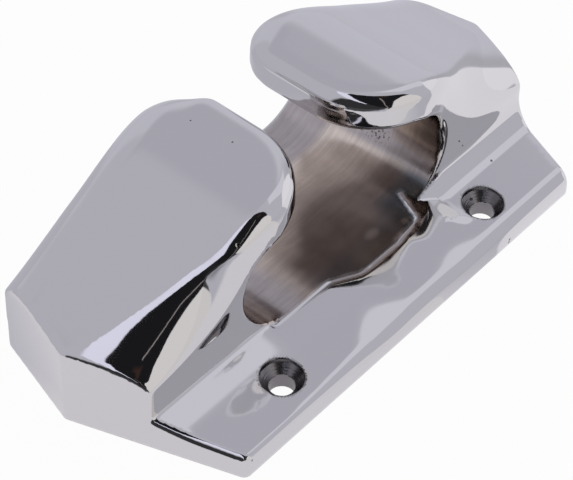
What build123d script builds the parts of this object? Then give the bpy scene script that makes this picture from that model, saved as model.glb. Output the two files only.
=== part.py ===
from build123d import *
from math import cos, exp, log, radians, sin, sqrt, tan
import os

# Open mooring fairlead, one polished stainless steel casting. Sizes are in millimetres.
# X runs along the fairlead, -Y is the side with the screw flange, Z goes up from the deck.
# The origin is the middle of the base, on the deck.

# Base outline: a hexagon, widest at its two end corners
base_depth = 65.5
front_length = 114.6
widest_length = 143.0
back_length = 129.2
widest_setback = 40.3
outline_corner_radius = 2.0
draft_angle = 1.5

# Screw flange along the front
flange_edge_thickness = 6.3
flange_wall_thickness = 7.6
flange_edge_radius = 2.0
wall_setback = 21.0
foot_radius = 4.5

# Top of the horns: level over the throat, then an S-shaped fall to the end corners
crown_height = 44.5
crown_half_length = 20.5
ramp_offset = 44.3
ramp_height = 34.6
ramp_slope = 0.52
end_height = 21.4
end_slope = 0.31

# Front rim, seen from above: straight from the end corner, then easing into the horn's tip
rim_setback = 19.3
rim_bend_offset = 30.0
rim_bend_softness = 2.5
rim_radius = 4.2

# Rolled back edge: a wide roll that grows towards the ends, then a tight one into the back
crown_roll_radius = 10.8
end_roll_radius = 18.0
roll_turn = 50.0
back_edge_radius = 1.5

# Wall under the rim: upright up to this height, with a rounded shoulder above it
wall_height = 16.8
wall_rise_offset = 44.0
wall_rise_slope = 1.05
wall_rise_softness = 2.0
shoulder_fullness = 0.5
least_shoulder = 4.0

# Throat: a flat-sided oval channel that runs through from front to back
throat_width = 67.8
throat_height = 28.1
throat_floor = 6.6
throat_edge_radius = 2.2

# Slot between the two horn tips, through which the rope is dropped in
slot_width = 15.2
tip_front_radius = 20.0
tip_back_radius = 12.6

# Worn lip where the throat's floor breaks through the flange, seen from above
lip_setback = 15.2
lip_left = -14.0
lip_right = 22.5
lip_slant = 15.0
lip_corner_radius = 2.5

# Countersunk screw holes in the flange
hole_spacing = 70.9
hole_setback = 9.4
hole_diameter = 6.0
sink_diameter = 10.0
sink_land = 0.8
sink_angle = 90.0

# Sizes that follow from the ones above
front_y = -base_depth / 2
back_y = base_depth / 2
throat_roof = throat_floor + throat_height
throat_middle = throat_floor + throat_height / 2
tip_start = slot_width / 2 + tip_front_radius
tip_join = crown_half_length
lean = tan(radians(draft_angle))
overrun = 5.0
section_count = 5
near = 0.1


def eased(distance, softness):
    # Zero well before the bend, the distance itself well after it, and smooth between them.
    return softness * log(1 + exp(distance / softness))


def ease_between(start, end, t):
    # Cubic through two (place, height, slope) stations, t from 0 to 1.
    run = end[0] - start[0]
    return (
        start[1] * (2 * t**3 - 3 * t**2 + 1)
        + end[1] * (3 * t**2 - 2 * t**3)
        + start[2] * run * (t**3 - 2 * t**2 + t)
        + end[2] * run * (t**3 - t**2)
    )


def top_height(x):
    # Height of the horns' top at a distance along the fairlead.
    crown = (crown_half_length, crown_height, 0.0)
    ramp = (ramp_offset, ramp_height, -ramp_slope)
    corner = (widest_length / 2, end_height, -end_slope)
    place = abs(x)
    if place <= crown[0]:
        return crown_height
    if place <= ramp[0]:
        return ease_between(crown, ramp, (place - crown[0]) / (ramp[0] - crown[0]))
    if place <= corner[0]:
        return ease_between(ramp, corner, (place - ramp[0]) / (corner[0] - ramp[0]))
    return end_height - end_slope * (place - corner[0])


def rim_depth(x):
    # How far the front rim stands behind the flange's front edge.
    run = widest_length / 2 - rim_bend_offset
    slope = (widest_setback - rim_setback) / run
    bend = slope * eased(abs(x) - rim_bend_offset, rim_bend_softness)
    curl = max(tip_start - abs(x), 0)
    return rim_setback + bend + tip_front_radius - sqrt(tip_front_radius**2 - curl**2)


def wall_depth(height):
    # How far the flat wall stands behind the flange's front edge, up to the throat's roof.
    share = (height - flange_wall_thickness) / (throat_roof - flange_wall_thickness)
    return wall_setback + (rim_depth(tip_join) - wall_setback) * share


def roll_radius(x):
    # The back edge's wide roll grows from the crown to the end corners.
    share = (abs(x) - crown_half_length) / (widest_length / 2 - crown_half_length)
    return crown_roll_radius + (end_roll_radius - crown_roll_radius) * max(share, 0)


def wall_top(x):
    # Height at which the upright wall turns into the shoulder.
    rise = wall_rise_slope * eased(wall_rise_offset - abs(x), wall_rise_softness)
    return min(wall_height + rise, throat_roof, top_height(x) - least_shoulder)


def arc_ends(before, corner, after, radius):
    # Where an arc of this radius leaves and meets the two sides of a corner.
    side_in = (before - corner).normalized()
    side_out = (after - corner).normalized()
    reach = radius / tan(radians(side_in.get_angle(side_out)) / 2)
    return corner + side_in * reach, corner + side_out * reach


def back_roll(x, top):
    # Start, middle and end of the rolled back edge, and its direction in the middle.
    wide = roll_radius(x)
    half_way = radians(roll_turn)
    all_way = radians(90 - draft_angle)
    depth = wide * sin(half_way) + back_edge_radius * (sin(all_way) - sin(half_way))
    drop = wide * (1 - cos(half_way)) + back_edge_radius * (cos(half_way) - cos(all_way))
    start = back_y - (top - drop) * lean - depth
    return (
        Vector(x, start, top),
        Vector(x, start + wide * sin(half_way), top - wide * (1 - cos(half_way))),
        Vector(x, start + depth, top - drop),
        (0, cos(half_way), -sin(half_way)),
    )


def cross_section(x):
    # Outline of the casting at one distance along it, before the throat is cut.
    def point(setback, height):
        return Vector(x, front_y + setback, height)

    front_foot = point(-overrun * lean, -overrun)
    front_top = point(flange_edge_thickness * lean, flange_edge_thickness)
    foot = point(wall_setback, flange_wall_thickness)
    top = top_height(x)
    shoulder = wall_top(x)
    rim = point(rim_depth(x) + max(top - throat_roof, 0) * lean, top)
    upright = wall_depth(shoulder)
    wall_end = point(upright, shoulder)
    pull = point(upright, shoulder + shoulder_fullness * (top - shoulder))
    back_foot = point(base_depth + overrun * lean, -overrun)
    roll_a, roll_b, roll_c, roll_way = back_roll(x, top)

    edge_a, edge_b = arc_ends(front_foot, front_top, foot, flange_edge_radius)
    foot_a, foot_b = arc_ends(front_top, foot, wall_end, foot_radius)
    rim_a, rim_b = arc_ends(pull, rim, roll_a, rim_radius)
    pieces = [
        Line(front_foot, edge_a),
        TangentArc(edge_a, edge_b, tangent=front_top - front_foot),
        Line(edge_b, foot_a),
        TangentArc(foot_a, foot_b, tangent=foot - front_top),
        Line(foot_b, wall_end),
        Bezier(wall_end, pull, rim_a),
        TangentArc(rim_a, rim_b, tangent=rim - pull),
        Line(rim_b, roll_a),
        TangentArc(roll_a, roll_b, tangent=(0, 1, 0)),
        TangentArc(roll_b, roll_c, tangent=roll_way),
        Line(roll_c, back_foot),
        Line(back_foot, front_foot),
    ]
    return make_face(Wire([piece.edges()[0] for piece in pieces]))


def long_body():
    # The casting's cross-section carried along its length, past both ends.
    tongue_middle = (slot_width / 2 + tip_join) / 2
    spacing = (widest_length / 2 + overrun - tip_join) / section_count
    places = [tongue_middle] + [tip_join + spacing * step for step in range(section_count + 1)]
    stations = [-x for x in places[::-1]] + places
    return loft([cross_section(x) for x in stations])


def end_trim():
    # Drafted prism whose two pairs of end faces cut the body to length.
    front_half = front_length / 2
    back_half = back_length / 2
    widest_half = widest_length / 2
    widest_y = front_y + widest_setback
    front_run = (widest_half - front_half) / widest_setback
    back_run = (widest_half - back_half) / (base_depth - widest_setback)
    corners = [
        (-front_half + overrun * front_run, front_y - overrun),
        (front_half - overrun * front_run, front_y - overrun),
        (widest_half, widest_y),
        (back_half - overrun * back_run, back_y + overrun),
        (-back_half + overrun * back_run, back_y + overrun),
        (-widest_half, widest_y),
    ]
    outline = make_face(Polyline(*corners, close=True))
    by_x = outline.vertices().group_by(Axis.X)
    outline = fillet(by_x[0] + by_x[-1], outline_corner_radius)
    return extrude(outline, amount=crown_height + overrun, taper=draft_angle)


def throat_cut():
    # The oval channel with its rounded mouths. In front of the wall it spares the flange.
    roof_y = front_y + wall_depth(throat_roof)
    floor_y = front_y + wall_depth(throat_floor) - throat_edge_radius
    rise = (roof_y - floor_y) / throat_height
    front = Plane((0, roof_y, throat_roof), x_dir=(1, 0, 0), z_dir=(0, -1, rise))
    back = Plane((0, back_y, 0), x_dir=(-1, 0, 0), z_dir=(0, 1, lean))
    channel = Plane.XZ.offset(-base_depth) * Pos(0, throat_middle) * throat_oval(base_depth * 2)
    channel += mouth(front) + mouth(back)
    return channel - (flange_block() - lip_block())


def throat_oval(length):
    # A flat-sided oval prism.
    return extrude(SlotOverall(throat_width, throat_height), amount=length)


def mouth(face):
    # Trumpet that opens the channel with a quarter round where it meets a face.
    slant = face.z_dir.Z / face.z_dir.Y
    middle_y = face.origin.Y - slant * (throat_middle - face.origin.Z)
    middle = face.to_local_coords(Vector(0, middle_y, throat_middle))
    depth = 2 * throat_edge_radius
    place = Pos(0, middle.Y, -depth)
    block = place * extrude(Rectangle(2 * throat_width, 2 * throat_width), amount=depth)
    plate = block - place * throat_oval(depth)
    rim = plate.edges().group_by(Axis.Z)[-1].filter_by(lambda edge: on_oval(edge, middle.Y))
    return face * (block - fillet(rim, throat_edge_radius))


def on_oval(edge, middle):
    # True for an edge of the channel's own outline.
    spot = edge.position_at(0.5)
    return abs(spot.X) < throat_width / 2 + near and abs(spot.Y - middle) < throat_height


def flange_block():
    # The flange under its sloping top, carried past both ends and the front.
    rise = (flange_wall_thickness - flange_edge_thickness) / wall_setback
    wall_y = front_y + wall_setback
    corners = [
        (wall_y, 0),
        (wall_y, flange_wall_thickness),
        (front_y - overrun, flange_edge_thickness - overrun * rise),
        (front_y - overrun, 0),
    ]
    profile = Plane.YZ.offset(-widest_length) * make_face(Polyline(*corners, close=True))
    return extrude(profile, amount=2 * widest_length)


def lip_block():
    # Upright prism over the worn lip, square at one end and slanting at the other.
    wall_y = front_y + wall_setback
    lip_y = front_y + lip_setback
    corners = [
        (lip_left, wall_y),
        (lip_left + lip_slant, lip_y),
        (lip_right, lip_y),
        (lip_right, wall_y),
    ]
    outline = make_face(Polyline(*corners, close=True))
    outline = fillet(outline.vertices().group_by(Axis.Y)[0], lip_corner_radius)
    return extrude(outline, amount=crown_height)


def tip_outline():
    # Plan of one horn tip at the throat's roof, rounded at the front and the back.
    inner = slot_width / 2
    front = front_y + rim_setback
    back = back_y - throat_roof * lean
    end = tip_join + 2 * overrun
    pieces = [
        Line((end, back), (inner + tip_back_radius, back)),
        TangentArc((inner + tip_back_radius, back), (inner, back - tip_back_radius), tangent=(-1, 0)),
        Line((inner, back - tip_back_radius), (inner, front + tip_front_radius)),
        TangentArc((inner, front + tip_front_radius), (inner + tip_front_radius, front), tangent=(0, -1)),
        Line((inner + tip_front_radius, front), (end, front)),
        Line((end, front), (end, back)),
    ]
    return make_face(Wire([piece.edges()[0] for piece in pieces]))


def horn_tip():
    # One overhanging tongue with a rolled rim, from its tip to where it joins the body.
    tongue = extrude(tip_outline(), amount=crown_height - throat_roof, taper=draft_angle)
    rim_edges = tongue.edges().group_by(Axis.Z)[-1].sort_by(Axis.X)[:-1]
    tongue = fillet(rim_edges, rim_radius)
    under_edges = tongue.edges().group_by(Axis.Z)[0].sort_by(Axis.X)[:-1]
    tongue = fillet(under_edges, throat_edge_radius)
    reach = extrude(top_outline(), amount=tip_join, dir=(1, 0, 0))
    return Pos(0, 0, throat_roof) * tongue & reach


def top_outline():
    # Outline across a horn above the throat's roof, with the rolled back edge.
    roll_a, roll_b, roll_c, roll_way = back_roll(0, crown_height)
    front = Vector(0, front_y, crown_height)
    under = Vector(0, front_y, throat_roof)
    back = Vector(0, back_y - throat_roof * lean, throat_roof)
    pieces = [
        Line(under, front),
        Line(front, roll_a),
        TangentArc(roll_a, roll_b, tangent=(0, 1, 0)),
        TangentArc(roll_b, roll_c, tangent=roll_way),
        Line(roll_c, back),
        Line(back, under),
    ]
    return make_face(Wire([piece.edges()[0] for piece in pieces]))


def screw_hole(x):
    # Through hole, countersink and the short land at its mouth.
    mouth = flange_edge_thickness + hole_setback * (
        (flange_wall_thickness - flange_edge_thickness) / wall_setback
    )
    cone_top = mouth - sink_land
    cone_depth = (sink_diameter - hole_diameter) / 2 / tan(radians(sink_angle / 2))
    place = Pos(x, front_y + hole_setback, 0)
    shank = place * Pos(0, 0, mouth / 2) * Cylinder(hole_diameter / 2, 2 * mouth)
    cone = place * Pos(0, 0, cone_top - cone_depth / 2) * Cone(
        hole_diameter / 2, sink_diameter / 2, cone_depth
    )
    land = place * Pos(0, 0, cone_top + foot_radius / 2) * Cylinder(sink_diameter / 2, foot_radius)
    return shank + cone + land


def fairlead():
    body = (long_body() & end_trim()) - throat_cut()
    slot_height = 2 * (crown_height - throat_roof)
    body -= Pos(0, 0, throat_roof + slot_height / 2) * Box(2 * tip_join, 2 * base_depth, slot_height)
    tip = horn_tip()
    body = body + tip + tip.mirror(Plane.YZ)
    for side in (-1, 1):
        body -= screw_hole(side * hole_spacing / 2)
    return body


os.makedirs("parts", exist_ok=True)
export_step(fairlead(), "parts/fairlead_body.step")
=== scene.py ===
import bpy
import numpy as np
from mathutils import Matrix


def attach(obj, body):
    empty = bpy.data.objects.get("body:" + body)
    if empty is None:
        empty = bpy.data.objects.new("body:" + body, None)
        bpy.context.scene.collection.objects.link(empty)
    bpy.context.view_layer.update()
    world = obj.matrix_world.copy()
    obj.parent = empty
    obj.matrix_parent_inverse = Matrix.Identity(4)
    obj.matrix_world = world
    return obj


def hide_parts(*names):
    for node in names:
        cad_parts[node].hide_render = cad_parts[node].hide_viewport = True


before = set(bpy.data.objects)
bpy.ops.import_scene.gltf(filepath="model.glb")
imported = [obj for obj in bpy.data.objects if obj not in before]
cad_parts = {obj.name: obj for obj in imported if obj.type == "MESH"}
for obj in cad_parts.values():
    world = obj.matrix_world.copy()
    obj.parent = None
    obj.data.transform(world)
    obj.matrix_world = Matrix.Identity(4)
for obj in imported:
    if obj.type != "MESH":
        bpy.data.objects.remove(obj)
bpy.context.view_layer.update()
print("1 of 6: CAD frame loaded")


# The camera's place in metres, its own axes in the scene's, and its lens in millimetres.
cameraView = {
    "place": (-0.25766, -0.21673, 0.36237),
    "right": (0.66116, -0.75020, 0.00796),
    "up": (0.54211, 0.48506, 0.68617),
    "back": (-0.51863, -0.44936, 0.72740),
    "lens": 133.62, "sensor": 36.0, "nearest": 0.01, "farthest": 100.0,
}


def makeCamera():
    data = bpy.data.cameras.new("photoCamera")
    data.lens = cameraView["lens"]
    data.sensor_width = cameraView["sensor"]
    data.clip_start = cameraView["nearest"]
    data.clip_end = cameraView["farthest"]
    camera = bpy.data.objects.new("photoCamera", data)
    bpy.context.scene.collection.objects.link(camera)
    turn = Matrix([cameraView["right"], cameraView["up"], cameraView["back"]]).transposed()
    camera.rotation_mode = "QUATERNION"
    camera.rotation_quaternion = turn.to_quaternion()
    camera.location = cameraView["place"]
    bpy.context.scene.camera = camera


makeCamera()
print("2 of 6: camera set")


# The casting is one closed surface. Each of its faces is a signed distance, negative inside,
# and the distances are joined with exact rounds and fillets. A distance is an array of four
# rows: its value, and its slope along x, y and z.
# Sizes are in millimetres. x runs along the casting, s back from its front, z up. A fade is
# the place where it starts and its run, which is negative where it goes down the axis.
casting = {
    # outline from above, its corners, the draft of the walls and the edges round the ends
    "depth": 65.5, "frontLength": 114.6, "widestLength": 143.0, "backLength": 129.2,
    "widestSetback": 40.3, "cornerRadius": 2.0, "draft": 1.5, "baseEdge": 0.4,
    "endEdge": 1.4, "flangeEndEdge": 2.0, "flangeEndFade": (10.0, -3.0),
    # flange: thickness at its front edge and at the wall, edge round at the left and right
    "flangeEdge": 6.3, "flangeWall": 7.6, "flangeRound": (1.2, 4.2), "flangeRoundFade": (-50.0, 50.0),
    "wallSetback": 21.0, "foot": (0.8, 6.5), "footFade": (-10.0, 20.0),
    # top: level part, then a station and an end corner with their heights and falls
    "crownHeight": 44.5, "crownHalf": 20.5, "ramp": (44.3, 34.6, 0.52), "end": (21.4, 0.31),
    # rims: the front one's setback and bend, the back one's roll at the crown and at the end
    "rimSetback": 19.3, "rimBend": (30.0, 2.5), "rimRadius": 4.2,
    "backRoll": (10.8, 18.0), "rollTurn": 50.0, "backEdge": 1.5, "backFade": (0.1, 0.8),
    # wall in front of the horns and the shoulder above it
    "wallHeight": 16.8, "wallRise": (44.0, 1.05, 2.0), "leastShoulder": 4.0, "curlFade": (-3.0, 10.0),
    # oval throat, with the round at its mouth, and the slot between the horns' tips
    "throatWidth": 67.8, "throatHeight": 28.1, "throatFloor": 6.6,
    "mouthRound": (0.4, 2.2), "mouthFade": (8.0, 16.0),
    "slotWidth": 15.2, "tipFront": 20.0, "tipBack": 12.6,
    # floor in front of the throat: from, to, height and half length
    "floorBlock": (13.0, 26.0, 6.85, 25.0),
    # worn lip: corners of its plan, and its edge at the left and right
    "lip": ((-14.0, 21.0), (-1.2, 15.0), (1.0, 14.7), (12.5, 14.7), (21.6, 17.2), (25.0, 26.0)),
    "lipCorner": 3.0, "lipEdge": (2.6, 1.0), "lipEdgeFade": (10.0, 10.0),
    "lipFoot": 0.5, "lipFootFade": (0.0, -2.0),
    # at both sides of the lip the flange runs on under the wall
    "cutBack": 5.0, "cutRightFade": (18.0, 4.0), "cutLeftFade": (-25.5, -4.0),
    # deck's lift towards the wall: plain and at the left
    "liftStart": (9.6, 13.6), "liftSlope": (0.065, 0.18), "liftSoftness": 1.2,
    "liftLeftFade": (-26.0, -9.0), "liftFade": (13.0, 6.0),
    # deck's fall towards the front, deeper at two lobes: middle, reach, depth
    "fallStart": 1.6, "fallSlope": 0.15, "fallSoftness": 0.9, "fallFade": (-26.0, 12.0),
    "fallLobes": ((-8.0, 9.5, 6.8), (19.0, 9.0, 4.8)),
    # screw holes
    "holeSpacing": 70.9, "holeSetback": 9.4, "hole": 6.0, "sink": 10.0, "sinkLand": 0.8,
    "sinkAngle": 90.0, "holeEdge": 0.15,
    # zones of the finish, which also carry the painted colours: the ground throat and the turned holes
    "satinLap": 0.4, "satinTop": 40.0, "satinFloor": 6.95, "satinFade": (0.5, -0.35),
    "machinedLap": 0.35, "machinedRun": -0.3,
}
c = casting
lean = np.tan(np.radians(c["draft"]))
throatRoof = c["throatFloor"] + c["throatHeight"]
throatMiddle = c["throatFloor"] + c["throatHeight"] / 2
widest = c["widestLength"] / 2
flangeRise = (c["flangeWall"] - c["flangeEdge"]) / c["wallSetback"]
tiny = 1e-12             # keeps a root above nothing
step = 1e-3              # for slopes taken from two neighbouring values


def eased(distance, softness):
    # Nothing well before the bend, the distance itself well after it, smooth between them:
    # softness times the log of one plus e to the power of distance over softness.
    return softness * np.logaddexp(0, distance / softness)


def smooth(share):
    # 3 t squared less 2 t cubed, with t held between 0 and 1.
    share = np.clip(share, 0, 1)
    return share * share * (3 - 2 * share)


def fade(place, start, run):
    # From 0 at the start to 1 one run further on.
    return smooth((place - start) / run)


def between(first, last, share):
    return first + (last - first) * share


def hermite(start, end, share):
    # Cubic through two stations, each a place, a height and a slope.
    run = end[0] - start[0]
    t = np.clip(share, 0, 1)
    return (start[1] * (2 * t**3 - 3 * t**2 + 1) + end[1] * (3 * t**2 - 2 * t**3)
            + start[2] * run * (t**3 - 2 * t**2 + t) + end[2] * run * (t**3 - t**2))


def topHeight(x):
    # Level over the throat, then an S-shaped fall through one station to the end corner.
    crown = (c["crownHalf"], c["crownHeight"], 0.0)
    ramp = (c["ramp"][0], c["ramp"][1], -c["ramp"][2])
    end = (widest, c["end"][0], -c["end"][1])
    upper = hermite(crown, ramp, (x - crown[0]) / (ramp[0] - crown[0]))
    lower = hermite(ramp, end, (x - ramp[0]) / (end[0] - ramp[0]))
    past = end[1] + end[2] * (x - end[0])
    return np.where(x < ramp[0], upper, np.where(x < end[0], lower, past))


def rimDepth(x):
    # Setback of the front rim: constant, then straight out to the end corner.
    slope = (c["widestSetback"] - c["rimSetback"]) / (widest - c["rimBend"][0])
    return c["rimSetback"] + slope * eased(x - c["rimBend"][0], c["rimBend"][1])


def wallDepth(x, z):
    # Setback of the flat wall: leans from the flange up to the rim at the throat's roof.
    tipStart = c["slotWidth"] / 2 + c["tipFront"]
    curl = c["tipFront"] - np.sqrt(c["tipFront"]**2 - (tipStart - c["crownHalf"])**2)
    high = c["rimSetback"] + curl * fade(x - tipStart, *c["curlFade"])
    share = np.maximum(z - c["flangeWall"], 0) / (throatRoof - c["flangeWall"])
    return between(c["wallSetback"], high, share)


def wallTop(x):
    # Height where the flat wall turns into the rounded shoulder.
    fromX, slope, softness = c["wallRise"]
    rise = slope * eased(fromX - x, softness)
    return np.minimum(np.minimum(c["wallHeight"] + rise, throatRoof), topHeight(x) - c["leastShoulder"])


def frontDepth(x, z):
    # Flat wall up to wallTop, then a parabola out to the rim at the top.
    low, high = wallTop(x), topHeight(x)
    foot = wallDepth(x, low)
    share = np.clip((z - low) / (high - low), 0, 1.2)
    rim = rimDepth(x) + np.maximum(high - throatRoof, 0) * lean
    return np.where(z < low, wallDepth(x, z), between(foot, rim, share**2))


def unit(distance):
    # A distance divided by the length of its slope.
    return distance / np.sqrt((distance[1:]**2).sum(0))


def flat(x, y, z, nx, ny, nz, offset):
    # Distance to a plane: the place along its normal less the plane's offset.
    length = np.sqrt(nx * nx + ny * ny + nz * nz)
    out = np.empty((4,) + x.shape)
    out[0] = (nx * x + ny * y + nz * z - offset) / length
    out[1], out[2], out[3] = nx / length, ny / length, nz / length
    return out


def sharp(a, b):
    # What both distances hold, with a sharp edge: the larger of the two.
    return np.where(a[0] >= b[0], a, b)


def rounded(a, b, radius):
    # What both hold, with a rolling-ball round: the distance to the round's axis, found
    # from both distances and the angle between their slopes, less the radius. Faces that
    # are nearly parallel have no round.
    cosine = np.clip((a[1:] * b[1:]).sum(0), -0.999, 0.999)
    sineSquared = 1 - cosine**2
    u, v = a[0] + radius, b[0] + radius
    alongA, alongB = (u - cosine * v) / sineSquared, (v - cosine * u) / sineSquared
    inArc = (alongA > 0) & (alongB > 0) & (sineSquared > 2e-3)
    reach = np.sqrt(np.maximum(u * u + v * v - 2 * u * v * cosine, 1e-9) / sineSquared)
    arc = np.empty_like(a)
    arc[0] = reach - radius
    arc[1:] = (alongA * a[1:] + alongB * b[1:]) / reach
    return np.where(inArc, arc, sharp(a, b))


def filled(a, b, radius):
    # What either holds, with a fillet of that radius between them.
    return -rounded(-a, -b, radius)


def rolledTop(x, around, top):
    # The top with its back edge rolled: an arc of growing radius that turns only part of
    # the way, then a tight arc into the back. Beyond the arc's start the distance is that
    # to the arc's axis, less its radius. Along the slot it fades to the plain rim radius.
    toBack = fade(around[2], *c["backFade"])
    share = np.clip((x - c["crownHalf"]) / (widest - c["crownHalf"]), 0, 1)
    radius = between(c["rimRadius"], between(*c["backRoll"], share), toBack)
    tight = np.maximum(c["backEdge"] * toBack, 1e-3)
    cosine = np.clip((around[1:] * top[1:]).sum(0), -0.9, 0.999)
    sine = np.sqrt(1 - cosine**2)
    turn = np.minimum(np.arccos(cosine), np.radians(between(90, c["rollTurn"], toBack)))
    drop = radius * (1 - np.cos(turn)) + tight * (np.cos(turn) - cosine)
    start = radius * np.sin(turn) + tight * (sine - np.sin(turn)) - drop * cosine / sine
    along = (around[0] - cosine * top[0]) / sine + start
    down = np.maximum(top[0] + radius, 0)
    reach = np.sqrt(along**2 + down**2 + tiny)
    roll = np.empty_like(top)
    roll[0] = reach - radius
    roll[1:] = (along * (around[1:] - cosine * top[1:]) / sine + down * top[1:]) / reach
    return rounded(np.where(along > 0, roll, top), around, tight)


def throatWall(x, z):
    # Distance to the oval channel's wall, positive inside the channel: half its height
    # less the distance to the flat line in its middle.
    dx = np.maximum(x - (c["throatWidth"] - c["throatHeight"]) / 2, 0)
    dz = z - throatMiddle
    reach = np.sqrt(dx**2 + dz**2 + tiny)
    return np.stack([c["throatHeight"] / 2 - reach, -dx / reach, np.zeros_like(x), -dz / reach])


def hornSolid(x, s, z):
    # Both horns: under the top, behind the wall, before the back and beside the slot, with
    # the throat's floor running out in front of them, and the throat cut through it all.
    slope = (topHeight(x + step) - topHeight(x - step)) / (2 * step)
    top = unit(np.stack([z - topHeight(x), -slope, np.zeros_like(x), np.ones_like(x)]))
    wallX = (frontDepth(x + step, z) - frontDepth(x - step, z)) / (2 * step)
    wallZ = (frontDepth(x, z + step) - frontDepth(x, z - step)) / (2 * step)
    wall = unit(np.stack([frontDepth(x, z) - s, wallX, -np.ones_like(x), wallZ]))
    back = flat(x, s, z, 0, 1, lean, c["depth"])
    slot = flat(x, s, z, -1, 0, lean, throatRoof * lean - c["slotWidth"] / 2)
    slot[0] = np.where(z < throatMiddle, -c["depth"], slot[0])      # the slot ends in the throat
    rear = rolledTop(x, rounded(slot, back, c["tipBack"]), top)
    front = rounded(rounded(slot, wall, c["tipFront"]), top, c["rimRadius"])
    mouth = between(*c["mouthRound"], fade(z, *c["mouthFade"]))
    mouth = np.where(s > c["depth"] / 2, c["mouthRound"][1], mouth)
    fore, aft, height, half = c["floorBlock"]
    block = sharp(flat(x, s, z, 0, -1, 0, -fore), flat(x, s, z, 0, 1, 0, aft))
    block = sharp(block, sharp(flat(x, s, z, 0, 0, 1, height), flat(x, s, z, 1, 0, 0, half)))
    return rounded(-sharp(-sharp(rear, front), -block), throatWall(x, z), mouth)


def endFaces(x, s, z):
    # The two drafted faces of an end, rounded where they meet.
    frontX, frontY = c["widestSetback"], c["frontLength"] / 2 - widest
    front = flat(x, s, z, frontX, frontY, lean * np.hypot(frontX, frontY),
                 frontX * widest + frontY * c["widestSetback"])
    backX, backY = c["depth"] - c["widestSetback"], widest - c["backLength"] / 2
    back = flat(x, s, z, backX, backY, lean * np.hypot(backX, backY),
                backX * widest + backY * c["widestSetback"])
    return rounded(front, back, c["cornerRadius"])


def lipRadius(xSigned):
    # The lip's edge is rounder at the left than at the right.
    return between(*c["lipEdge"], fade(xSigned, *c["lipEdgeFade"]))


def lipCut(xSigned, s, z):
    # Plan of the worn lip: a chain of straight cuts, each through two corners of the outline
    # at which the deck starts to turn down, with rounded corners between them.
    cut = None
    for (x0, s0), (x1, s1) in zip(c["lip"][:-1], c["lip"][1:]):
        line = flat(xSigned, s, z, s1 - s0, x0 - x1, 0, (s1 - s0) * x0 - (x1 - x0) * s0)
        cut = line if cut is None else rounded(cut, line, c["lipCorner"])
    cut[0] += lipRadius(xSigned)
    return cut


def flangeSolid(x, xSigned, side, s, z):
    # The sloping flange: it lifts a little towards the wall, falls a little towards its
    # rounded front edge, and is cut back at the lip.
    front = flat(x, s, z, 0, -1, lean, 0)
    deck = flat(x, s, z, 0, -flangeRise, 1, c["flangeEdge"])
    left = fade(xSigned, *c["liftLeftFade"])
    start, softness = between(*c["liftStart"], left), c["liftSoftness"]
    slope = between(*c["liftSlope"], left) * (1 - fade(xSigned, *c["liftFade"]))
    deck[0] -= slope * eased(s - start, softness)
    deck[2] -= slope / (1 + np.exp((start - s) / softness))
    start, softness = c["fallStart"], c["fallSoftness"]
    for middle, reach, depth in c["fallLobes"]:
        start = start + depth * np.exp(-((xSigned - middle) / reach)**2)
    slope = c["fallSlope"] * fade(xSigned, *c["fallFade"])
    deck[0] += slope * eased(start - s, softness)
    deck[2] -= slope / (1 + np.exp((s - start) / softness))
    lip = lipCut(xSigned, s, z)
    lip[1] *= side
    inner = flat(x, s, z, 0, 1, 0, c["wallSetback"])
    inner[0] -= c["cutBack"] * (fade(xSigned, *c["cutRightFade"]) + fade(xSigned, *c["cutLeftFade"]))
    edge = between(*c["flangeRound"], fade(xSigned, *c["flangeRoundFade"]))
    return rounded(rounded(front, deck, edge), sharp(inner, -lip), lipRadius(xSigned))


def screwHole(x, s, z):
    # Distance into the hole: the widest of the shank and a cone that ends in a short land.
    dx, ds = x - c["holeSpacing"] / 2, s - c["holeSetback"]
    reach = np.sqrt(dx**2 + ds**2 + tiny)
    ux, us, none = dx / reach, ds / reach, np.zeros_like(x)
    mouth = c["flangeEdge"] + flangeRise * c["holeSetback"]
    half = np.radians(c["sinkAngle"] / 2)
    shank = np.stack([c["hole"] / 2 - reach, -ux, -us, none])
    land = np.stack([c["sink"] / 2 - reach, -ux, -us, none])
    cone = np.stack([(c["sink"] / 2 - reach) * np.cos(half) + (z - mouth + c["sinkLand"]) * np.sin(half),
                     -ux * np.cos(half), -us * np.cos(half), none + np.sin(half)])
    cone = np.where(cone[0] < land[0], cone, land)
    return sharp(cone, shank)


def castingField(x, y, z):
    # The horns filled onto the flange, trimmed by the ends and the base, less the holes.
    side = np.where(x < 0, -1.0, 1.0)
    half = np.abs(x)
    s = y + c["depth"] / 2
    flange = flangeSolid(half, x, side, s, z)
    outside = fade(throatWall(half, z)[0], *c["lipFootFade"])
    foot = between(*c["foot"], fade(x, *c["footFade"]))
    body = filled(hornSolid(half, s, z), flange, between(c["lipFoot"], foot, outside))
    low = fade(z, *c["flangeEndFade"]) * (x < 0)
    body = rounded(body, endFaces(half, s, z), between(c["endEdge"], c["flangeEndEdge"], low))
    body = rounded(body, flat(half, s, z, 0, 0, -1, 0), c["baseEdge"])
    body = rounded(body, screwHole(half, s, z), c["holeEdge"])
    body[1] *= side
    return body


# How the surface is found: grid spacing and where it is fine, the grid's reach past the
# casting, and the steps and limits of the search.
mesher = {
    "coarse": 0.82, "fine": 0.5, "fineX": (29.0, 42.0), "fineS": (3.0, 25.0), "fineZ": (4.6, 8.6),
    "zoneFade": 4.0, "samples": 4001, "past": (1.3, 1.1, 0.9),
    "crossingSteps": 5, "crossingHold": 0.02, "meanHold": 0.02, "newtonSteps": 3, "newtonReach": 0.15,
    "probe": 0.15, "crease": 0.93, "evenPasses": 2, "evenFrom": 0.9, "evenGain": 10, "ownWeight": 2,
}


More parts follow.
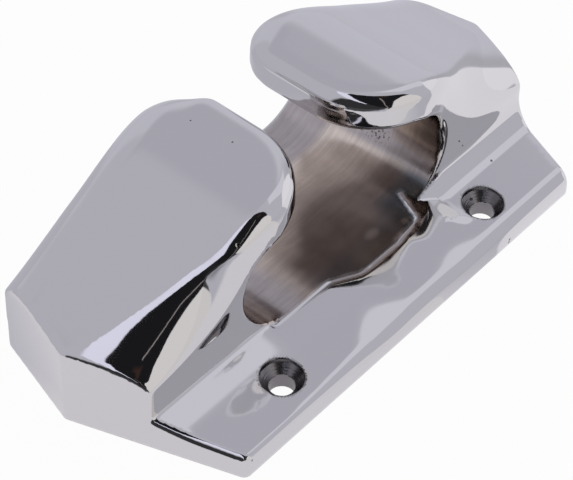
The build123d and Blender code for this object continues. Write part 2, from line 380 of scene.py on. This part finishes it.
def gridPlaces(low, high, zones):
    # Places along one axis: the local spacing is fine inside the zones and eases out to
    # coarse, and each place is where the sum of one over the spacing passes a whole number.
    sample = np.linspace(low, high, mesher["samples"])
    near = np.ones_like(sample)
    for start, end in zones:
        near = np.minimum(near, smooth(np.maximum(start - sample, sample - end) / mesher["zoneFade"]))
    steps = 1 / between(mesher["fine"], mesher["coarse"], near)
    total = np.concatenate([[0], np.cumsum((steps[1:] + steps[:-1]) / 2 * (sample[1] - sample[0]))])
    return np.interp(np.linspace(0, total[-1], int(np.ceil(total[-1])) + 1), total, sample)


def crossings(field, axes, value, axis):
    # Grid edges along one axis whose two ends lie on different sides of the surface. The
    # crossing is found by false position, and each has the four cells round its edge.
    count = np.array(value.shape)
    before = value.take(range(count[axis] - 1), axis)
    after = value.take(range(1, count[axis]), axis)
    where = np.argwhere((before < 0) != (after < 0))
    low, high = before[tuple(where.T)], after[tuple(where.T)]
    inwards = low > 0
    corner = np.stack([axes[k][where[:, k]] for k in range(3)])
    size = np.diff(axes[axis])[where[:, axis]]
    start, end = np.zeros(len(where)), np.ones(len(where))
    hold = mesher["crossingHold"]
    for _ in range(mesher["crossingSteps"]):
        share = between(start, end, np.clip(low / (low - high), hold, 1 - hold))
        point = corner.copy()
        point[axis] += size * share
        found = field(*point)
        left = (found[0] < 0) == (low < 0)
        low, start = np.where(left, found[0], low), np.where(left, share, start)
        high, end = np.where(left, high, found[0]), np.where(left, end, share)
    first, second = (axis + 1) % 3, (axis + 2) % 3
    cells = np.stack([where, where, where, where])
    cells[0, :, first] -= 1
    cells[3, :, first] -= 1
    cells[0, :, second] -= 1
    cells[1, :, second] -= 1
    ids = (cells[..., 0] * (count[1] - 1) + cells[..., 1]) * (count[2] - 1) + cells[..., 2]
    quads = ids.T.copy()
    quads[inwards] = quads[inwards][:, ::-1]
    return quads, ids, point, found[1:] / np.sqrt((found[1:]**2).sum(0))


def cellPoints(ids, points, normals, axes, shape):
    # One vertex for each cell: the point with the least squares of distance to the tangent
    # planes at the cell's crossings, held near their mean and inside the cell.
    cells, back = np.unique(ids, return_inverse=True)
    total = len(cells)
    count = np.bincount(back, minlength=total)
    mean = np.stack([np.bincount(back, points[k], total) / count for k in range(3)])
    away = (normals * (points - mean[:, back])).sum(0)
    square = np.empty((total, 3, 3))
    right = np.empty((total, 3))
    for i in range(3):
        for j in range(3):
            square[:, i, j] = np.bincount(back, normals[i] * normals[j], total)
        right[:, i] = np.bincount(back, normals[i] * away, total)
    square += mesher["meanHold"] * count[:, None, None] * np.eye(3)
    shift = np.linalg.solve(square, right[:, :, None])[:, :, 0].T
    at = np.stack(np.unravel_index(cells, shape))
    corner = np.stack([axes[k][at[k]] for k in range(3)])
    across = np.stack([axes[k][at[k] + 1] for k in range(3)])
    return cells, np.clip(mean + shift, corner, across)


def surfaceOf(field, axes):
    # Dual contouring: a vertex in each cell that the surface crosses, a quad round each
    # crossed grid edge, then a few Newton steps onto the surface.
    count = np.array([len(places) for places in axes])
    value = np.empty(count)
    yy, zz = np.meshgrid(axes[1], axes[2], indexing="ij")
    for i in range(count[0]):
        slab = field(np.full(yy.size, axes[0][i]), yy.ravel(), zz.ravel())
        value[i] = slab[0].reshape(yy.shape)
    parts = [crossings(field, axes, value, axis) for axis in range(3)]
    quads = np.concatenate([part[0] for part in parts])
    ids = np.concatenate([part[1].ravel() for part in parts])
    points = np.concatenate([np.tile(part[2], 4) for part in parts], axis=1)
    normals = np.concatenate([np.tile(part[3], 4) for part in parts], axis=1)
    cells, vertices = cellPoints(ids, points, normals, axes, count - 1)
    reach = mesher["newtonReach"]
    for _ in range(mesher["newtonSteps"]):
        found = field(*vertices)
        move = np.clip(found[0] / (found[1:]**2).sum(0), -reach, reach)
        vertices = vertices - found[1:] * move
    return vertices, np.searchsorted(cells, quads)


def evenNormals(normals, quads):
    # Each normal becomes the mean of its neighbours' that point nearly the same way.
    start, end = quads.ravel(), np.roll(quads, -1, axis=1).ravel()
    for _ in range(mesher["evenPasses"]):
        alike = (normals[:, start] * normals[:, end]).sum(0) - mesher["evenFrom"]
        share = np.maximum(alike, 0) * mesher["evenGain"]
        total = normals * mesher["ownWeight"]
        for k in range(3):
            total[k] += np.bincount(start, share * normals[k, end], normals.shape[1])
            total[k] += np.bincount(end, share * normals[k, start], normals.shape[1])
        normals = total / np.sqrt((total**2).sum(0))
    return normals


def cornerNormals(field, vertices, quads):
    # The field's slope at each vertex, evened, or, across a crease, its slope a little
    # towards the middle of the face.
    plain = field(*vertices)[1:]
    plain /= np.sqrt((plain**2).sum(0))
    corners = vertices[:, quads]
    middle = corners.mean(axis=2, keepdims=True)
    probe = between(corners, middle, mesher["probe"])
    near = field(*probe.reshape(3, -1))[1:].reshape(corners.shape)
    near /= np.sqrt((near**2).sum(0))
    crease = (plain[:, quads] * near).sum(0) < mesher["crease"]
    return np.where(crease, near, evenNormals(plain, quads)[:, quads])


# Colours of the metal, and the zones of the throat that take them one after another: a
# colour, its share, and fades along x, s, z or past the curved edge of the dark patch.
# The throat's zones are painted reflections of the dark horns and room, with some stain.
# The edge is a setback and its fades along x. A spot is its x, s, half length and half depth.
lowWall, highWall = ("z", 11.4, -1.8), ("z", 13.2, 1.2)
stainAndReflection = {
    "plain": (0.74, 0.735, 0.73), "grey": (0.56, 0.52, 0.505), "brown": (0.97, 0.87, 0.74),
    "dark": (0.38, 0.325, 0.285), "blue": (0.17, 0.185, 0.20), "umber": (0.52, 0.45, 0.40),
    "edge": (31.0, (9.0, -7.0, 13.0), (-6.0, 12.0, 18.0)),
    "zones": (
        ("brown", 1.0, ("s", 53.5, -4.0), lowWall),
        ("umber", 0.7, ("edge", -8.0, 9.0), lowWall),
        ("dark", 1.0, ("edge", -1.5, 4.5), ("x", -13.0, 6.0), lowWall),
        ("blue", 1.0, ("x", 14.0, 8.0), ("s", 31.0, -6.0), lowWall),
        ("blue", 0.6, ("s", 27.0, -6.0), ("x", -14.0, 6.0), lowWall),
        ("grey", 0.75, ("spot", (10.6, 22.4, 2.8, 1.7)), lowWall),
        ("grey", 0.75, ("spot", (14.2, 17.6, 2.2, 0.8)), lowWall),
        ("grey", 0.75, ("spot", (19.0, 19.4, 1.4, 1.1)), lowWall),
        ("grey", 1.0, ("x", -12.0, -6.0), ("z", -0.2, 1.0)),
        ("umber", 1.0, ("s", 36.0, -3.0), highWall, ("x", 0.0, 0.1)),
        ("dark", 0.8, ("s", 31.5, -3.0), highWall, ("x", 0.0, 0.1)),
        ("umber", 1.0, ("s", 31.0, -3.0), ("z", 6.9, 0.5), ("x", 0.0, -0.1)),
    ),
}


def tintOf(x, s, z, satin):
    # Colour of the metal: bright outside, and in the ground throat a grey that turns brown
    # and then nearly black towards the front, with lighter and darker bands up the sides:
    # painted reflections of the dark horns and room, with some stain.
    # A spot fades from its middle half out to its rim.
    def shade(name):
        return np.array(stainAndReflection[name])[:, None]

    setback, *bends = stainAndReflection["edge"]
    for depth, start, run in bends:
        setback = setback + depth * fade(x, start, run)
    places = {"x": x, "s": s, "z": z, "edge": setback - s}
    throat = shade("grey") * np.ones_like(x)
    for name, share, *fades in stainAndReflection["zones"]:
        for axis, start, *run in fades:
            if axis == "spot":
                atX, atS, wide, deep = start
                share = share * smooth(2 - 2 * np.hypot((x - atX) / wide, (s - atS) / deep))
            else:
                share = share * fade(places[axis], start, *run)
        throat = between(throat, shade(name), share)
    colour = between(shade("plain"), throat, satin)
    return np.stack([*colour, np.ones_like(x)]).T


def addMask(mesh, name, values):
    mask = mesh.attributes.new(name, "FLOAT", "POINT")
    mask.data.foreach_set("value", values.astype(np.float32))


def makeCasting():
    half = c["depth"] / 2
    (holeLow, holeHigh), (fore, aft) = mesher["fineX"], mesher["fineS"]
    pastX, pastY, pastZ = mesher["past"]
    axes = [gridPlaces(-widest - pastX, widest + pastX, ((holeLow, holeHigh), (-holeHigh, -holeLow))),
            gridPlaces(-half - pastY, half + pastY, ((fore - half, aft - half),)),
            gridPlaces(-pastZ, c["crownHeight"] + pastZ, (mesher["fineZ"],))]
    vertices, quads = surfaceOf(castingField, axes)
    normals = cornerNormals(castingField, vertices, quads)
    mesh = bpy.data.meshes.new("fairleadCasting")
    mesh.from_pydata((vertices.T * 0.001).tolist(), [], quads.tolist())      # in metres
    mesh.polygons.foreach_set("use_smooth", np.ones(len(quads), bool))

    # the ground throat with the floor in front of it, and the turned holes
    x, s, z = np.abs(vertices[0]), vertices[1] + half, vertices[2]
    inThroat = (s > c["wallSetback"] - c["satinLap"]) & (z < c["satinTop"])
    onFloor = (s > c["floorBlock"][0]) & (z < c["satinFloor"])
    satin = fade(np.abs(throatWall(x, z)[0]), *c["satinFade"]) * (inThroat | onFloor)
    addMask(mesh, "satin", satin)
    hole = np.hypot(x - c["holeSpacing"] / 2, s - c["holeSetback"])
    # the turned holes' mask also lays on their flat painted shade
    addMask(mesh, "machinedAndShaded", fade(hole, c["sink"] / 2 + c["machinedLap"], c["machinedRun"]))
    # the tint carries the throat's painted reflections and some stain
    tint = mesh.attributes.new("tint", "FLOAT_COLOR", "POINT")
    tint.data.foreach_set("color", tintOf(vertices[0], s, z, satin).astype(np.float32).ravel())

    mesh.normals_split_custom_set(normals.reshape(3, -1).T.tolist())
    mesh.validate()
    body = bpy.data.objects.new("fairleadCasting", mesh)
    bpy.context.scene.collection.objects.link(body)
    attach(body, "root")
    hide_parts("fairlead_body")
    return body


body = makeCasting()
print("3 of 6: casting made,", len(body.data.polygons) * 2, "triangles")


def addNode(tree, kind, inputs=None, **settings):
    node = tree.nodes.new(kind)
    for name, value in settings.items():
        setattr(node, name, value)
    for name, value in (inputs or {}).items():
        join(tree, value, node.inputs[name])
    return node


def join(tree, value, socket):
    # A link where the value is another node's socket, and a plain setting where it isn't.
    if isinstance(value, bpy.types.NodeSocket):
        tree.links.new(value, socket)
    else:
        socket.default_value = value


def maths(tree, operation, first, second=0.0, third=0.0):
    return addNode(tree, "ShaderNodeMath", {0: first, 1: second, 2: third}, operation=operation).outputs[0]


def product(tree, first, *others):
    for other in others:
        first = maths(tree, "MULTIPLY", first, other)
    return first


def sumOf(tree, first, *others):
    for other in others:
        first = maths(tree, "ADD", first, other)
    return first


def vectorMaths(tree, operation, first, second=(0, 0, 0), output=0):
    return addNode(tree, "ShaderNodeVectorMath", {0: first, 1: second}, operation=operation).outputs[output]


def noise(tree, place, scale, detail, distortion=0.0):
    inputs = {"Vector": place, "Scale": scale, "Detail": detail, "Distortion": distortion}
    return addNode(tree, "ShaderNodeTexNoise", inputs).outputs[0]


def ranged(tree, value, start, end, **settings):
    # From 0 at the start to 1 at the end.
    inputs = {"Value": value, "From Min": start, "From Max": end}
    return addNode(tree, "ShaderNodeMapRange", inputs, **settings).outputs[0]


def mixed(tree, share, first, second, kind="RGBA"):
    node = addNode(tree, "ShaderNodeMix", {0: share}, data_type=kind)
    low, high, out = {"RGBA": (6, 7, 2), "FLOAT": (2, 3, 0)}[kind]
    join(tree, first, node.inputs[low])
    join(tree, second, node.inputs[high])
    return node.outputs[out]


# Finish of the metal. Scales are noise cells a metre, heights are in millimetres, and the
# places of pits and pores are in millimetres too. A pit is its place and its radius.
steel = {
    "roughness": 0.045, "throatRoughness": 0.17, "holeRoughness": 0.30, "roughnessSpread": (0.6, 0.8),
    "bumpDistance": 0.001, "bumpStrength": 0.6,
    "grindScale": (90.0, 1500.0, 90.0), "grindDetail": 3.0, "grindHeight": 0.008,
    "cloudScale": 170.0, "cloudDetail": 4.0, "throatSpread": (0.52, 0.45),
    "waveScale": 45.0, "waveDetail": 1.0, "waveHeight": 0.10,
    # the holes' colour is a flat painted shade, darker than the metal
    "ringScale": 2600.0, "ringDetail": 2.0, "ringHeight": 0.10, "paintedHoleShade": (0.25, 0.24, 0.245, 1),
    "lineScale": (900.0, 70.0, 260.0), "lineDetail": 1.0, "lineBend": 0.4, "lineHeight": 0.010,
    "lineFromX": (0.012, 0.022), "lineFromZ": (0.030, 0.038),
    "pits": ((-34.7, -10.2, 38.7, 0.55), (-55.4, -32.6, 4.8, 0.35), (34.2, -32.7, 1.9, 0.45),
             (34.0, -32.7, 1.1, 0.45), (47.4, -16.6, 7.3, 0.40), (36.1, -19.6, 4.9, 0.45),
             (-17.1, 7.4, 44.5, 0.35), (-18.2, 18.7, 44.5, 0.30), (-56.9, -31.2, 6.5, 0.30)),
    "pores": (31.7, 7.2, 13.4), "poreReach": (450.0, 170.0, 380.0), "poreEdge": (1.0, 0.5),
    "poreScale": 1500.0, "poreSize": (0.42, 0.20), "poreDepth": 0.8,
    "pitHeight": -0.15, "pitShade": 0.85, "pitColour": (0.05, 0.045, 0.045, 1),
}


def pitMask(tree, place):
    # 1 in the casting pits and in the pores of a patch under the right horn.
    pitted = None
    for x, y, z, size in steel["pits"]:
        away = vectorMaths(tree, "DISTANCE", place, (x / 1000, y / 1000, z / 1000), "Value")
        spot = ranged(tree, away, size / 1000, size / 2000)
        pitted = spot if pitted is None else maths(tree, "MAXIMUM", pitted, spot)
    x, y, z = steel["pores"]
    away = vectorMaths(tree, "ADD", place, (-x / 1000, -y / 1000, -z / 1000))
    away = vectorMaths(tree, "MULTIPLY", away, steel["poreReach"])
    patch = ranged(tree, vectorMaths(tree, "LENGTH", away, output="Value"), *steel["poreEdge"])
    cells = addNode(tree, "ShaderNodeTexVoronoi", {"Vector": place, "Scale": steel["poreScale"]})
    speckle = ranged(tree, cells.outputs["Distance"], *steel["poreSize"])
    return maths(tree, "MAXIMUM", pitted, product(tree, speckle, patch, steel["poreDepth"]))


def holeRings(tree, parts):
    # Turning marks: noise by the distance from the hole's axis and the height. x is taken
    # on either side, so both holes have them.
    sideways = maths(tree, "SUBTRACT", maths(tree, "ABSOLUTE", parts[0]), 0.001 * c["holeSpacing"] / 2)
    onward = sumOf(tree, parts[1], 0.001 * (c["depth"] / 2 - c["holeSetback"]))
    squares = sumOf(tree, product(tree, sideways, sideways), product(tree, onward, onward))
    reach, scale = maths(tree, "SQRT", squares), steel["ringScale"]
    place = addNode(tree, "ShaderNodeCombineXYZ",
                    {0: product(tree, reach, scale), 1: product(tree, parts[2], scale)})
    return noise(tree, place.outputs[0], 1.0, steel["ringDetail"])


def makeSteel():
    material = bpy.data.materials.new("polishedSteel")
    material.use_nodes = True
    tree = material.node_tree
    shader = tree.nodes["Principled BSDF"]
    shader.inputs["Metallic"].default_value = 1.0
    place = addNode(tree, "ShaderNodeTexCoord").outputs["Object"]
    parts = addNode(tree, "ShaderNodeSeparateXYZ", {0: place}).outputs
    satin = addNode(tree, "ShaderNodeAttribute", attribute_name="satin").outputs["Fac"]
    machinedAndShaded = addNode(tree, "ShaderNodeAttribute", attribute_name="machinedAndShaded").outputs["Fac"]
    tint = addNode(tree, "ShaderNodeAttribute", attribute_name="tint").outputs["Color"]

    # scratches of the grinding belt, drawn out across the throat, and a cloudy unevenness
    drawn = vectorMaths(tree, "MULTIPLY", place, steel["grindScale"])
    grind = noise(tree, drawn, 1.0, steel["grindDetail"])
    cloud = noise(tree, place, steel["cloudScale"], steel["cloudDetail"])
    waves = noise(tree, place, steel["waveScale"], steel["waveDetail"])

    # lines left by polishing along the right horn's top
    along = vectorMaths(tree, "MULTIPLY", place, steel["lineScale"])
    lines = noise(tree, along, 1.0, steel["lineDetail"], steel["lineBend"])
    onRight = ranged(tree, parts[0], *steel["lineFromX"])
    onTop = ranged(tree, parts[2], *steel["lineFromZ"])

    pitted = pitMask(tree, place)
    height = sumOf(tree, product(tree, grind, satin, steel["grindHeight"]),
                   product(tree, holeRings(tree, parts), machinedAndShaded, steel["ringHeight"]),
                   product(tree, waves, steel["waveHeight"]),
                   product(tree, lines, steel["lineHeight"], onRight, onTop),
                   product(tree, pitted, steel["pitHeight"]))
    bump = addNode(tree, "ShaderNodeBump", {"Height": height, "Distance": steel["bumpDistance"],
                                            "Strength": steel["bumpStrength"]})
    tree.links.new(bump.outputs[0], shader.inputs["Normal"])

    least, spread = steel["throatSpread"]
    uneven = sumOf(tree, product(tree, grind, spread), product(tree, cloud, spread), least)
    uneven = mixed(tree, satin, 1.0, uneven, "FLOAT")
    # the turned holes take a flat painted shade in place of the tint
    colour = mixed(tree, machinedAndShaded, tint, steel["paintedHoleShade"])
    colour = vectorMaths(tree, "MULTIPLY", colour, uneven)
    colour = mixed(tree, product(tree, pitted, steel["pitShade"]), colour, steel["pitColour"])
    tree.links.new(colour, shader.inputs["Base Color"])

    rough = mixed(tree, satin, steel["roughness"], steel["throatRoughness"], "FLOAT")
    rough = mixed(tree, machinedAndShaded, rough, steel["holeRoughness"], "FLOAT")
    least, spread = steel["roughnessSpread"]
    rough = product(tree, rough, sumOf(tree, product(tree, cloud, spread), least))
    tree.links.new(rough, shader.inputs["Roughness"])
    return material


body.data.materials.append(makeSteel())
print("4 of 6: steel made")


# The world is drawn on a round map: straight up is its middle, the distance from there is
# the angle from straight up in degrees, +x lies to the right and the front (-y) lies down.
# Each card is a flat-sided shape on that map: corners, corner roundness, softness, colour.
studio = {
    "surround": (0.549, 0.543, 0.613, 1),
    "cards": {
        "backGlow": (((4, -48), (50, -48), (60, -110), (4, -110)), 3, 6, (0.61, 0.61, 0.69, 1)),
        "dusk": (((-12, -46), (36, -46), (41, -26), (41, -10), (-8, -10)), 5, 5,
                 (0.497, 0.487, 0.557, 1)),
        "sideGlow": (((42, -60), (42, -14), (70, -12), (160, -12), (160, -110)), 3, 7,
                     (0.635, 0.633, 0.715, 1)),
        "frontGlow": (((14, -7), (60, -9), (62, 11), (52, 22), (14, 17)), 4, 2, (0.72, 0.71, 0.795, 1)),
        "blackRoom": (((-110, -10), (-60, -14), (-47, 4), (-30, 8), (-30, 60), (-45, 85), (-100, 60)),
                      5, 4, (0.035, 0.035, 0.038, 1)),
        "whiteStrip": (((-17, -12), (-26, -9), (-37, 1), (-41, 10), (-44.5, 22), (-46.5, 36),
                        (-40, 40), (-10, 0)), 2, 0.6, (0.866, 0.863, 1.037, 1)),
        "blackCloth": (((-17, -4), (-10, -4), (2, 20), (11, 47), (8, 70), (-16, 114), (-26, 110),
                        (-40, 82), (-46, 62), (-46.5, 44), (-41, 25), (-33, 11)),
                       2, 0.5, (0.012, 0.012, 0.014, 1)),
        "brownGlow": (((-9, 16), (-4, 15), (-2, 24), (-7, 26)), 2, 2, (0.045, 0.025, 0.02, 1)),
        "gapAbove": (((-12.9, 24), (-11.7, 24.5), (-33.4, 61.8), (-34.6, 61.2)), 0, 0.3,
                     (0.32, 0.29, 0.28, 1)),
        "gapBelow": (((-34.6, 61.2), (-33.4, 61.8), (-38.4, 80), (-39.8, 80)), 0, 0.3,
                     (0.32, 0.29, 0.28, 1)),
        "ivory": (((0, 43.5), (9, 46), (20, 57.5), (30, 72.5), (38, 88), (40, 140), (-12, 150),
                   (-34, 116), (-38, 102), (-36, 88), (-27, 72), (-15, 54)),
                  3, 0.6, (0.788, 0.758, 0.765, 1)),
        "cardTop": (((72, -8), (125, -10), (125, 4), (70, 4)), 2, 5, (0.50, 0.495, 0.545, 1)),
        "rightCard": (((58.5, 5), (55.5, 30), (59, 48), (76, 80), (110, 130), (160, 60), (160, 5)),
                      4, 1.6, (0.90, 0.88, 0.937, 1)),
    },
}


def mapPlace(tree, direction):
    # The map's place for a direction: the angle from straight up, along the direction's
    # own bearing. The 1 beside it takes a card side's offset.
    across, ahead, up = addNode(tree, "ShaderNodeSeparateXYZ", {0: direction}).outputs
    level = maths(tree, "SQRT", sumOf(tree, product(tree, across, across), product(tree, ahead, ahead)))
    angle = maths(tree, "DEGREES", maths(tree, "ARCTAN2", level, up))
    scale = maths(tree, "DIVIDE", angle, maths(tree, "MAXIMUM", level, 1e-4))
    return addNode(tree, "ShaderNodeCombineXYZ",
                   {0: product(tree, across, scale), 1: product(tree, ahead, scale, -1.0), 2: 1.0}).outputs[0]


def cardMask(tree, place, corners, roundness, softness):
    # 1 inside a card. The distance outside it is the greatest distance beyond any of its
    # sides, eased where two sides meet.
    corners = np.array(corners, float)
    ahead = np.roll(corners, -1, axis=0)
    turn = np.sign((corners[:, 0] * ahead[:, 1] - corners[:, 1] * ahead[:, 0]).sum())
    outside = None
    for (x0, y0), (x1, y1) in zip(corners, ahead):
        nx, ny = turn * (y1 - y0), turn * (x0 - x1)
        length = np.hypot(nx, ny)
        line = (nx / length, ny / length, -(nx * x0 + ny * y0) / length)
        side = vectorMaths(tree, "DOT_PRODUCT", place, line, "Value")
        outside = side if outside is None else maths(tree, "SMOOTH_MAX", outside, side, roundness)
    return ranged(tree, outside, softness, -softness, interpolation_type="SMOOTHSTEP")


def makeStudioGroup():
    # Colour of the studio in a direction: each card in turn over the colours before it.
    group = bpy.data.node_groups.new("studioCards", "ShaderNodeTree")
    group.interface.new_socket("Direction", in_out="INPUT", socket_type="NodeSocketVector")
    group.interface.new_socket("Colour", in_out="OUTPUT", socket_type="NodeSocketColor")
    place = mapPlace(group, group.nodes.new("NodeGroupInput").outputs["Direction"])
    colour = studio["surround"]
    for corners, roundness, softness, shade in studio["cards"].values():
        colour = mixed(group, cardMask(group, place, corners, roundness, softness), colour, shade)
    group.links.new(colour, group.nodes.new("NodeGroupOutput").inputs["Colour"])
    return group


# The floor is plain and white to the camera. In metal it shows the studio's colours as they
# lie beyond it, from a little above its middle, and a plain pale colour close to the casting
# in front of it at the left and beyond its left end. Places are in metres, fades as pairs.
floorLook = {
    "size": 12.0, "colour": (0.80, 0.79, 0.77, 1), "roughness": 0.9, "seen": 0.97, "inMetal": 0.90,
    "drop": 0.03, "near": (0.14, 0.105), "close": (0.80, 0.78, 0.83, 1),
    "front": (0.04, 0.01), "left": (0.04, 0.0), "end": (-0.062, -0.075),
}


def makeFloor():
    half = floorLook["size"] / 2
    mesh = bpy.data.meshes.new("studioFloor")
    corners = [(-half, -half, 0), (half, -half, 0), (half, half, 0), (-half, half, 0)]
    mesh.from_pydata(corners, [], [(0, 1, 2, 3)])
    floor = bpy.data.objects.new("studioFloor", mesh)
    bpy.context.scene.collection.objects.link(floor)
    material = bpy.data.materials.new("paleFloor")
    material.use_nodes = True
    tree = material.node_tree
    shader = tree.nodes["Principled BSDF"]
    shader.inputs["Base Color"].default_value = floorLook["colour"]
    shader.inputs["Roughness"].default_value = floorLook["roughness"]
    shader.inputs["Specular IOR Level"].default_value = 0.0

    place = addNode(tree, "ShaderNodeTexCoord").outputs["Object"]
    ground = addNode(tree, "ShaderNodeSeparateXYZ", {0: place}).outputs
    beyond = addNode(tree, "ShaderNodeCombineXYZ", {0: ground[0], 1: ground[1], 2: -floorLook["drop"]})
    cards = addNode(tree, "ShaderNodeGroup", node_tree=studioGroup)
    tree.links.new(beyond.outputs[0], cards.inputs["Direction"])
    away = vectorMaths(tree, "LENGTH", place, output="Value")
    near = ranged(tree, away, *floorLook["near"], interpolation_type="SMOOTHSTEP")
    front = product(tree, ranged(tree, ground[1], *floorLook["front"]),
                    ranged(tree, ground[0], *floorLook["left"]))
    end = ranged(tree, ground[0], *floorLook["end"])
    near = product(tree, near, maths(tree, "MAXIMUM", front, end))
    look = mixed(tree, near, cards.outputs["Colour"], floorLook["close"])

    rays = addNode(tree, "ShaderNodeLightPath").outputs
    bounced = maths(tree, "MAXIMUM", rays["Is Glossy Ray"], rays["Is Transmission Ray"])
    look = mixed(tree, bounced, (1, 1, 1, 1), look)
    share = maths(tree, "MAXIMUM", product(tree, rays["Is Camera Ray"], floorLook["seen"]),
                  product(tree, bounced, floorLook["inMetal"]))
    glow = addNode(tree, "ShaderNodeEmission", {"Color": look, "Strength": 1.0}).outputs[0]
    blend = addNode(tree, "ShaderNodeMixShader", {0: share, 1: shader.outputs[0], 2: glow})
    tree.links.new(blend.outputs[0], tree.nodes["Material Output"].inputs[0])
    mesh.materials.append(material)


def makeWorld():
    world = bpy.data.worlds.new("studio")
    bpy.context.scene.world = world
    world.use_nodes = True
    tree = world.node_tree
    cards = addNode(tree, "ShaderNodeGroup", node_tree=studioGroup)
    tree.links.new(addNode(tree, "ShaderNodeTexCoord").outputs["Generated"], cards.inputs["Direction"])
    tree.links.new(cards.outputs["Colour"], tree.nodes["Background"].inputs["Color"])
    tree.nodes["Background"].inputs["Strength"].default_value = 1.0


studioGroup = makeStudioGroup()
makeFloor()
makeWorld()
bpy.context.scene.view_settings.view_transform = "Standard"
print("5 of 6: floor and studio made")
